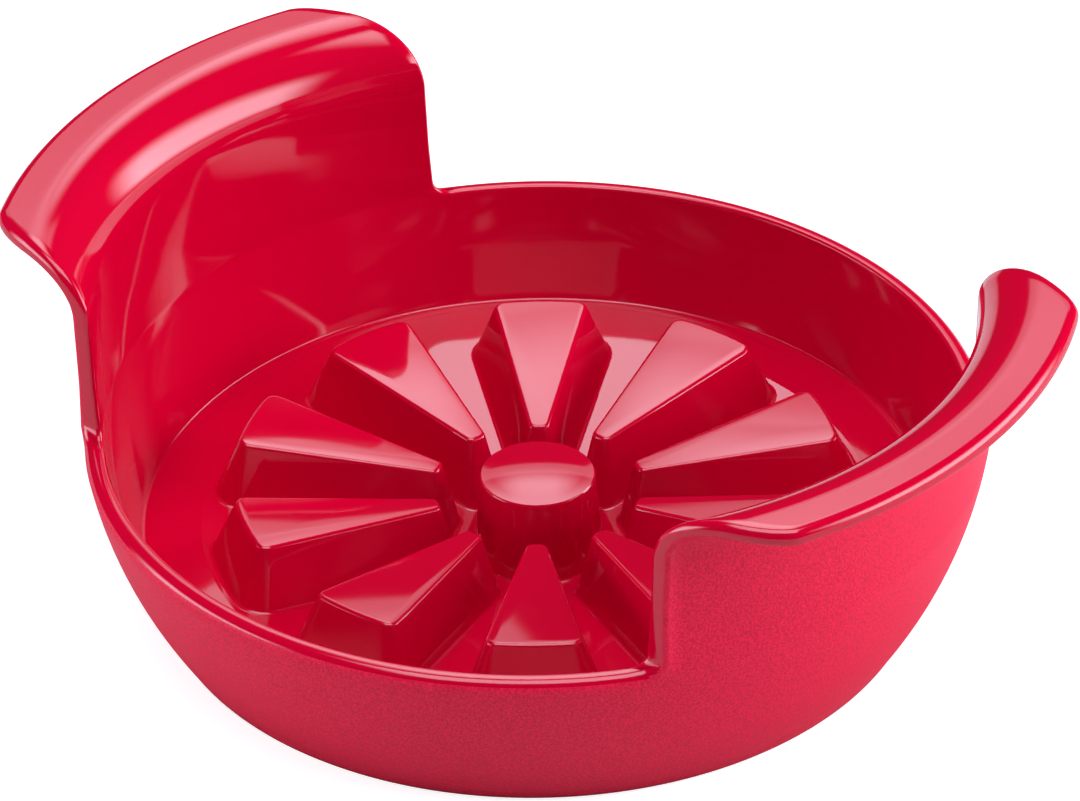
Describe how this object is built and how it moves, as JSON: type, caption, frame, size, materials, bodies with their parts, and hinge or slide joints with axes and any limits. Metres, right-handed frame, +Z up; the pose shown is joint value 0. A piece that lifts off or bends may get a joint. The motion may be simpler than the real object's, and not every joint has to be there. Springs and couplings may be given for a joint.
{
  "type": "fruit divider press tray",
  "caption": "Round red moulded bowl with wedge press pads round a core hub on a dished floor and two rolled grips; pushes fruit through a divider.",
  "frame": {"origin": "on the table under the bowl's axis", "axes": "+X through the right grip, +Z up, a blade slot on +X"},
  "size_m": [0.159, 0.1317, 0.0574],
  "materials": {
    "red_plastic": "glossy moulded red, fine matte texture on the outside of the bowl"
  },
  "bodies": {
    "root": {"bowl_wall": "red_plastic", "press_floor": "red_plastic", "core_hub": "red_plastic", "press_pad_01": "red_plastic", "press_pad_02": "red_plastic", "press_pad_03": "red_plastic", "press_pad_04": "red_plastic", "press_pad_05": "red_plastic", "press_pad_06": "red_plastic", "press_pad_07": "red_plastic", "press_pad_08": "red_plastic", "press_pad_09": "red_plastic", "press_pad_10": "red_plastic", "right_grip": "red_plastic", "left_grip": "red_plastic"}
  },
  "joints": []
}
